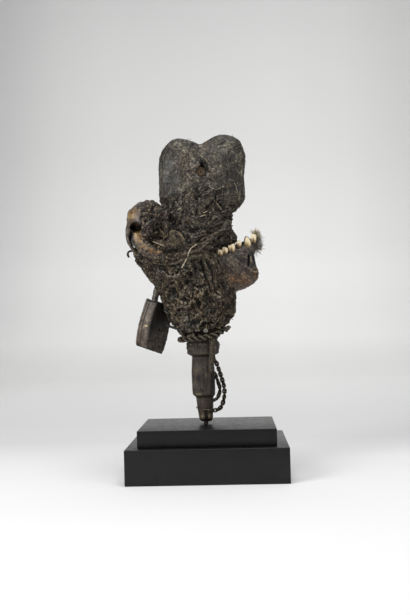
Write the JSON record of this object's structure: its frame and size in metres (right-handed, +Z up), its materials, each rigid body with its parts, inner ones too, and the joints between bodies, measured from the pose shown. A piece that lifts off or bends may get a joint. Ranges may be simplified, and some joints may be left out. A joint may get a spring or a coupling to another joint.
{
  "type": "fon power figure on a stepped base",
  "caption": "Bound ritual figure: a wooden stake and two-lobed head board joined by a crusted bundle with skull, jaw, padlock and cords, on a stepped display base.",
  "frame": {"origin": "centre of the underside of the lower step of the base", "axes": "+Z up through the post, +X towards the jaw's end, and the front that the picture shows faces -Y"},
  "size_m": [0.18, 0.145, 0.3955],
  "materials": {
    "base_paint": "satin black paint",
    "pin_steel": "dark",
    "post_wood": "worn patina",
    "board_wood": "dark patina",
    "peg_wood": "cut end",
    "old_bone": "smoked bone",
    "jaw_bone": "smoked bone",
    "ivory": "tooth enamel",
    "bristle": "coarse hair",
    "lock_iron": "worn and rusted",
    "crust": "crusted earth, fibre and cloth",
    "rope_fibre": "twisted plant fibre",
    "chain_metal": "tarnished",
    "ring_wire": "tarnished wire",
    "dark_twig": "smoked",
    "bead_glass": "dull, pale and opaque"
  },
  "bodies": {
    "root": {"base_lower_step": "base_paint", "base_upper_step": "base_paint", "mounting_pin": "pin_steel", "post": "post_wood", "head_board": "board_wood", "board_peg": "peg_wood", "animal_skull": "old_bone", "jawbone": "jaw_bone", "jaw_tooth_near_1": "ivory", "jaw_tooth_near_2": "ivory", "jaw_tooth_near_3": "ivory", "jaw_tooth_near_4": "ivory", "jaw_tooth_near_5": "ivory", "jaw_tooth_near_6": "ivory", "jaw_tooth_far_1": "ivory", "jaw_tooth_far_2": "ivory", "jaw_tooth_far_3": "ivory", "jaw_tooth_far_4": "ivory", "jaw_tooth_far_5": "ivory", "jaw_tooth_far_6": "ivory", "hair_tuft": "bristle", "padlock_body": "lock_iron", "padlock_shackle": "lock_iron", "bound_mass": "crust", "neck_rope": "rope_fibre", "post_strap": "rope_fibre", "chain_long": "chain_metal", "chain_short": "chain_metal", "tip_ring": "ring_wire", "tie_stick": "dark_twig", "hooked_twig": "dark_twig", "glass_bead": "bead_glass"}
  },
  "joints": []
}
